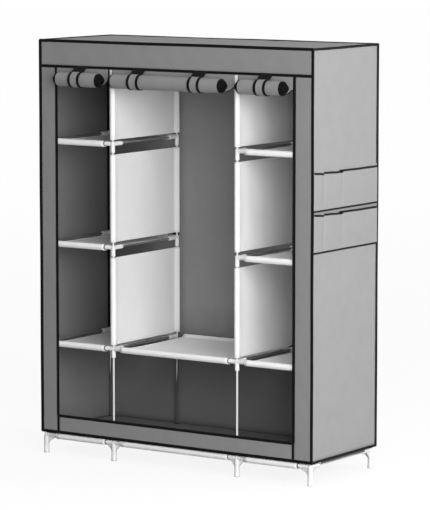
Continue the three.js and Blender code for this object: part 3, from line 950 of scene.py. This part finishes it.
# Dark tapes round the arms of the rear inner connectors under the middle of the back wall; their dark grey is
# painted shade over the white arms
bands = Builder()
radii = [0.0096, 0.0101, 0.0100, 0.0102, 0.0099, 0.0101, 0.0097]
profile = [(radius, 0.0100 + 0.0275 * k / 6) for k, radius in enumerate(radii)]
for x, direction in ((INNER_L, X), (INNER_R, -X)):
    bands.lathe(profile, (x, ROW_R, LEVELS[1]), direction, 24, cap=False)
bands.object("arm_tapes_painted_shade", [FACING_AND_SHADE_CLOTH], "cloth_grey", thickness=0.0005, offset=-1)


def open_tube(length, bevel):
    """The profile of a tube with softened ends."""
    return [(TUBE - 0.0004, 0.0), (TUBE, bevel), (TUBE, length - bevel), (TUBE - 0.0004, length)]


# Depth tubes, each with a fine weld seam on its top
front_end, rear_end = ROW_F + STUB - 0.006, ROW_R - STUB + 0.006
weld = [(-0.0005, -0.0003), (0.0005, -0.0003), (0.0003, 0.00015), (-0.0003, 0.00015)]
for column, x in POST.items():
    for level, z in enumerate(LEVELS):
        builder = Builder()
        builder.lathe(open_tube(rear_end - front_end, 0.0003), (x, front_end, z), Y, 24)
        builder.sweep(line((x, front_end + 0.007, z + TUBE), (x, rear_end - 0.007, z + TUBE), 0.1), weld, Z)
        material, slot = (DARK_TUBE, "tube_dark") if level else (WHITE_TUBE, "plastic_white")
        builder.object(f"rail_{column}_{level}", [material], slot, f"depth_tube_{column}_level_{level}")

# Rails, depth tubes and connectors under the roof, with the rod's clamps
MID = (ROW_F + ROW_R) / 2
width = POST["right_outer"] - POST["left_outer"]
builder = Builder()
for y, inward in ROWS.values():
    builder.lathe([(TUBE, 0), (TUBE, width)], (POST["left_outer"], y, TOP_RAIL), X, 20, 1)
    for column, arms in ARMS.items():
        connector(builder, POST[column], y, TOP_RAIL, arms[0], inward, SOCKET, CONN)
for x in POST.values():
    builder.lathe([(TUBE, 0), (TUBE, ROW_R - ROW_F)], (x, ROW_F, TOP_RAIL), Y, 20, 1)
clamp = [(CONN - 0.001, 0), (CONN, 0.001), (CONN, 0.029), (CONN - 0.001, 0.030)]
for x, direction in ((INNER_L, X), (INNER_R, -X)):
    builder.lathe(clamp, (x, MID - 0.015, TOP_RAIL), Y)
    builder.lathe(lip_profile(CONN, ARM), (x, MID, TOP_RAIL), direction)
builder.object("top_rails", [PLASTIC, WHITE_TUBE], "plastic_white", "top_frame")

builder = Builder()
start, end = INNER_L + ARM - 0.006, INNER_R - ARM + 0.006
builder.lathe(open_tube(end - start, 0.0004), (start, MID, TOP_RAIL), X, 24)
builder.object("clothes_rod", [DARK_TUBE], "tube_dark", "hanging_rod")

# Rolled curtains

ROLL_TURNS = 13
LEAD_ROWS = 26
# How far each roll's left end stands in from its solid
SETBACK = {"left": 0.002, "centre": 0.003, "right": 0.0065}


def roll_line():
    """Points (y, z, share of the turns) of a curtain's section: down from the valance, then wound in."""
    lead_top = VALANCE - 0.0004
    y_top, y_back = FRONT - GAP - 0.0008, ROLL_Y + ROLL_R - 0.0006
    rows = []
    for t in shares(LEAD_ROWS)[:-1]:
        rows.append((y_top + (y_back - y_top) * ease(t, 1.0), lead_top + (ROLL_Z - lead_top) * t, 0.0))
    outer, inner = ROLL_R - 0.0006, 0.0035
    for s in shares(ROLL_TURNS * 30):
        r = outer - (outer - inner) * s
        a = -tau * ROLL_TURNS * s
        rows.append((ROLL_Y + r * cos(a), ROLL_Z + r * sin(a), s))
    return rows


def curtain(side, x0, x1):
    """A curtain rolled up round X, its turns telescoped into a cone at both ends."""
    rows = roll_line()
    width = x1 - x0
    columns = max(14, round(width / 0.016))
    rim = 0.0055
    stops = [0.0, rim * 0.5, rim]
    middle = [rim + (width - 2 * rim) * k / columns for k in range(1, columns)]
    places = stops + middle + [width - s for s in reversed(stops)]
    lead0, lead1 = LEADS[side]
    lead_rows = LEAD_ROWS + 1
    seed = x0 * 9
    points = []
    for i, (y, z, s) in enumerate(rows):
        cone = 0.0255 * (1 - (1 - s) ** 1.25) if s else 0.0
        gather = 1 - ease(i / lead_rows - 1.0, 0.20)
        for u in places:
            t = u / width
            x = x0 + u + cone * (2 * t - 1)
            if gather:
                x += (lead0 - x0) * gather * (1 - t) + (lead1 - x1) * gather * t
            x += SETBACK[side] * (1 - t) * (1 - gather)
            out = Vector((0, 0))
            if 0 < s < 0.12:
                out = Vector((y - ROLL_Y, z - ROLL_Z)).normalized()
                soft = 0.0005 * sin(x * 31 + seed) + 0.0003 * sin(x * 90 + 9 * atan2(out.y, out.x))
                out *= soft * ease(s, 0.02) - 0.0003
            points.append((x, y + out.x, z + out.y))
    n = len(places)
    bound = [int(j < 2 or j > n - 4) for j in range(n - 1)]
    kinds = [0] * (n - 1) * lead_rows + bound * (len(rows) - 1 - lead_rows)
    piece = Builder().grid(points, n, kinds).object(
        f"curtain_{side}_cloth", [ROLL_CLOTH, BINDING], "cloth_grey", f"curtain_roll_{side}",
        thickness=0.0007, body=None, angle=80,
    )
    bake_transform(piece)


for side, (x0, x1) in ROLLS.items():
    curtain(side, x0, x1)

# Straps

# Across a strap: a bound edge, the cloth and a bound edge, as offsets from the middle and heights
STRAP_PROFILE = (
    (-0.0282, 0.0003), (-0.021, 0.0009), (-0.0152, 0.0008), (-0.0146, 0.0), (-0.0081, 0.0),
    (0.0081, 0.0), (0.0150, 0.0), (0.0156, 0.0008), (0.021, 0.0009), (0.027, 0.0003),
)


def strap(name, x):
    """A band of cloth from the valance round the roll and up again behind it."""
    radius = ROLL_R + 0.0005 + 0.0007
    lead = VALANCE - 0.0003
    path = [(FRONT + 0.0011, lead), (FRONT + 0.0005, (lead + ROLL_Z) / 2)]
    end_share = 0.236
    for t in shares(44):
        a = -t * tau * (1 - end_share)
        path.append((ROLL_Y + radius * cos(a), ROLL_Z + radius * sin(a)))
    tail_start = len(path) - 1
    y_end = FRONT - GAP - 0.003 - 0.0011
    ya, za = path[-1]
    for t in shares(8)[1:]:
        path.append((ya + (y_end - ya) * t, za + (lead - za) * t + 0.0016 * sin(pi * t)))
    points, kinds = [], []
    n = len(STRAP_PROFILE)
    for i, (y, z) in enumerate(path):
        before, after = path[max(i - 1, 0)], path[min(i + 1, len(path) - 1)]
        along = Vector((after[0] - before[0], after[1] - before[1])).normalized()
        out = Vector((along.y, -along.x))
        if out.dot(Vector((y - ROLL_Y, z - ROLL_Z))) < 0:
            out = -out
        flare = 1.0 + 0.08 * ease(i - tail_start + 3, 5)
        for dx, up in STRAP_PROFILE:
            points.append((x + dx * flare, y + out.x * up, z + out.y * up))
        if i < len(path) - 1:
            kinds += [int(j < 2 or j > n - 4 or i >= tail_start - 1) for j in range(n - 1)]
    piece = Builder().grid(points, n, kinds).object(
        f"tie_{name}", [STRAP_CLOTH, BINDING], "cloth_strap", f"strap_{name}", thickness=0.0009, angle=50
    )
    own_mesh(piece)


for name, (side, x) in STRAPS.items():
    strap(name, x)

# Side pockets

POCKET_X = RIGHT + GAP
POCKET_FACE = POCKET_X + 0.0009
POCKET_DEPTH = 0.0052
SEAMS = [FRONT + 0.009, FRONT + 0.079, FRONT + 0.211, BACK - 0.005]
BAGS = tuple(zip(SEAMS, SEAMS[1:]))


def mouth(k, t):
    """Height of a bag's upper edge below the pocket's top, t from its front to its rear seam."""
    front, rear = ((0.0, 0.0066), (0.0019, 0.0070), (0.0023, 0.0045))[k]
    return front + (rear - front) * t + 0.0004 * sin(9 * t + 2 * k) * sin(pi * t)


def pocket_cloth(node, low, high, seed):
    """The sheet that forms the three bags side by side, fullest at their mouths."""
    columns = []
    for k, (a, b) in enumerate(BAGS):
        for y in steps(a, b, 0.006):
            t = (y - a) / (b - a)
            bag = POCKET_DEPTH * sin(pi * t) ** 0.45 if 0 < t < 1 else 0.0
            columns.append((y, bag, high - mouth(k, t)))
    points = []
    for v in shares(22):
        for y, bag, top in columns:
            z = low + (top - low) * v
            depth = bag * (0.12 + 0.88 * ease(v, 0.55)) * (1 - 0.12 * ease(v - 0.8, 0.2))
            if bag:
                depth += 0.0004 * ripple(y * 60, z * 45, seed) * ease(v, 0.3)
            points.append((POCKET_FACE + depth, y, z))
    piece = Builder().grid(points, len(columns)).object(
        f"{node}_pocket_cloth", [LIT_SIDE_CLOTH], "cloth_grey", f"side_pocket_{node}", thickness=0.0009, angle=60
    )
    if piece.data.polygons[len(piece.data.polygons) // 2].normal.x < 0:
        piece.data.flip_normals()


def pocket_edges(node, low, high):
    """Bound mouths with a fold at the last step, the bound lower edge and the seams between the bags."""
    trim = Builder()
    mouth_tape = [(-0.0038, -0.0012), (0.0038, -0.0012), (0.0042, 0.0)]
    mouth_tape += [(0.0038, 0.0013), (-0.0038, 0.0013), (-0.0042, 0.0)]
    for k, (a, b) in enumerate(BAGS):
        path = []
        for y in steps(a + 0.0015, b - 0.0015, 0.006):
            t = (y - a) / (b - a)
            bag = POCKET_DEPTH * sin(pi * t) ** 0.45 * 0.88
            path.append(Vector((POCKET_FACE + bag, y, high - mouth(k, t) - 0.0008)))
        trim.sweep(path, mouth_tape, X)
        stitches(trim, [p + X * 0.0013 for p in path], X, 0.0025, 1)
    fold_x, fold_y = POCKET_X + 0.0030, SEAMS[2] - 0.009
    fold = line((fold_x, fold_y, high - mouth(1, 1) - 0.0030), (fold_x, fold_y, high + 0.0010), 0.004)
    trim.sweep(fold, [(-0.0105, -0.0010), (0.0105, -0.0010), (0.0098, 0.0040), (-0.0095, 0.0040)], X, 4)

    def lengthwise(out, z):
        return line((POCKET_X + out, SEAMS[0], z), (POCKET_X + out, SEAMS[3], z))

    lower_edge = lengthwise(0.0012, low - 0.0005)
    trim.sweep(lower_edge, tape(0.0036, -0.0012, 0.0008, 0.0014, 0.0008), X)
    stitches(trim, [p + X * 0.0014 for p in lower_edge], X, 0.0018, 1)
    # Under the upper pocket, a seam allowance strip in the darker inner grey, whose colour paints the shade
    # between the pockets
    if node == "upper":
        trim.sweep(lengthwise(0.0006, low - 0.0075), strip(0.0062, -0.0005, 0.0004), X, 3)
    for y in SEAMS[1:3]:
        seam = line((POCKET_X + 0.0012, y, low + 0.006), (POCKET_X + 0.0012, y, high - 0.009))
        stitches(trim, seam, X, 0.0, 2)
    materials = [PIPING, THREAD_DARK, THREAD_GREY, INNER_CLOTH, BINDING]
    trim.object(f"{node}_pocket_cloth_edging", materials, "cloth_grey")


for node, low, seed in (("upper", 1.067, 0.7), ("lower", 0.906, 2.9)):
    high = low + 0.1475
    pocket_cloth(node, low, high, seed)
    pocket_edges(node, low, high)

# Stage, lights and camera

scene = bpy.context.scene
FLOOR_REACH = 80
floor_mesh = bpy.data.meshes.new("floor")
floor_mesh.from_pydata([(FLOOR_REACH * i, FLOOR_REACH * j, 0) for i, j in QUAD], [], [(0, 1, 2, 3)])
floor = add_object("floor", floor_mesh)

# The camera sees a pale floor that still takes shadows, and other rays see a mid grey one
floor_pale = bpy.data.materials.new("floor_pale")
add = Nodes(floor_pale, empty=True).add
far = add("VectorMath", {0: add("TexCoord").outputs["Object"]}, operation="LENGTH").outputs["Value"]
lift = add("MapRange", {"Value": far, "From Min": 2.0, "From Max": 11.0, "To Min": 0.885, "To Max": 0.935})
glow = add("Emission", {"Strength": lift.outputs["Result"]})
veil = add("BsdfDiffuse", {"Color": (0.12, 0.12, 0.12, 1)})
both = add("AddShader", {0: veil.outputs[0], 1: glow.outputs[0]})
pale = add("BsdfDiffuse", {"Color": (0.25, 0.25, 0.25, 1)})
camera_ray = add("LightPath").outputs["Is Camera Ray"]
shown = add("MixShader", {0: camera_ray, 1: pale.outputs[0], 2: both.outputs[0]})
add("OutputMaterial", {"Surface": shown.outputs[0]})
floor.data.materials.append(floor_pale)
floor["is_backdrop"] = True

# The camera, metal and glass see a white world, which lights the object only a little
world = bpy.data.worlds.new("plain")
scene.world = world
add = Nodes(world, empty=True).add
rays = add("LightPath").outputs
gloss = add("Math", {0: rays["Is Glossy Ray"], 1: rays["Is Transmission Ray"]}, operation="MAXIMUM")
direct = add("Math", {0: rays["Is Camera Ray"], 1: gloss.outputs[0]}, operation="MAXIMUM")
light = add("Background", {"Color": (1, 1, 1, 1), "Strength": 0.18})
seen = add("Background", {"Color": (1, 1, 1, 1), "Strength": 1.0})
mixed = add("MixShader", {0: direct.outputs[0], 1: light.outputs[0], 2: seen.outputs[0]})
add("OutputWorld", {"Surface": mixed.outputs[0]})


def aim(thing, direction, axis):
    """Turns a lamp or the camera so that its axis lies along direction."""
    thing.rotation_mode = "QUATERNION"
    thing.rotation_quaternion = direction.to_track_quat(axis, "Y")


def panel(name, place, target, size, watts):
    """A large soft studio lamp at place, turned towards target."""
    data = bpy.data.lights.new(name, "AREA")
    data.shape, data.size, data.energy = "DISK", size, watts
    lamp = add_object(name, data)
    lamp.location = place
    aim(lamp, Vector(place) - Vector(target), "Z")


panel("front_lamp", (4.58, -3.95, 2.05), (0, 0, 0.95), 5.6, 462)
panel("side_lamp", (5.2, 2.2, 2.6), (0.6, 0, 0.9), 2.0, 120)
sky = bpy.data.lights.new("sky_lamp", "SUN")
sky.energy, sky.angle = 0.90, radians(50)
aim(add_object("sky_lamp", sky), Vector((0.05, 0.1, 1)), "Z")

camera_data = bpy.data.cameras.new("camera")
camera = add_object("camera", camera_data)
camera_data.sensor_width, camera_data.lens = 36.0, 3050.8 / 510 * 36.0
camera_data.clip_start, camera_data.clip_end = 0.5, 60
yaw, pitch = radians(34.241), radians(6.811)
forward = Vector((-sin(yaw) * cos(pitch), cos(yaw) * cos(pitch), -sin(pitch)))
camera.location = (6.8705 + SX, -10.0358 + SY, 2.2877)
aim(camera, forward, "-Z")
scene.camera = camera
scene.view_settings.view_transform = "Standard"

low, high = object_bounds()
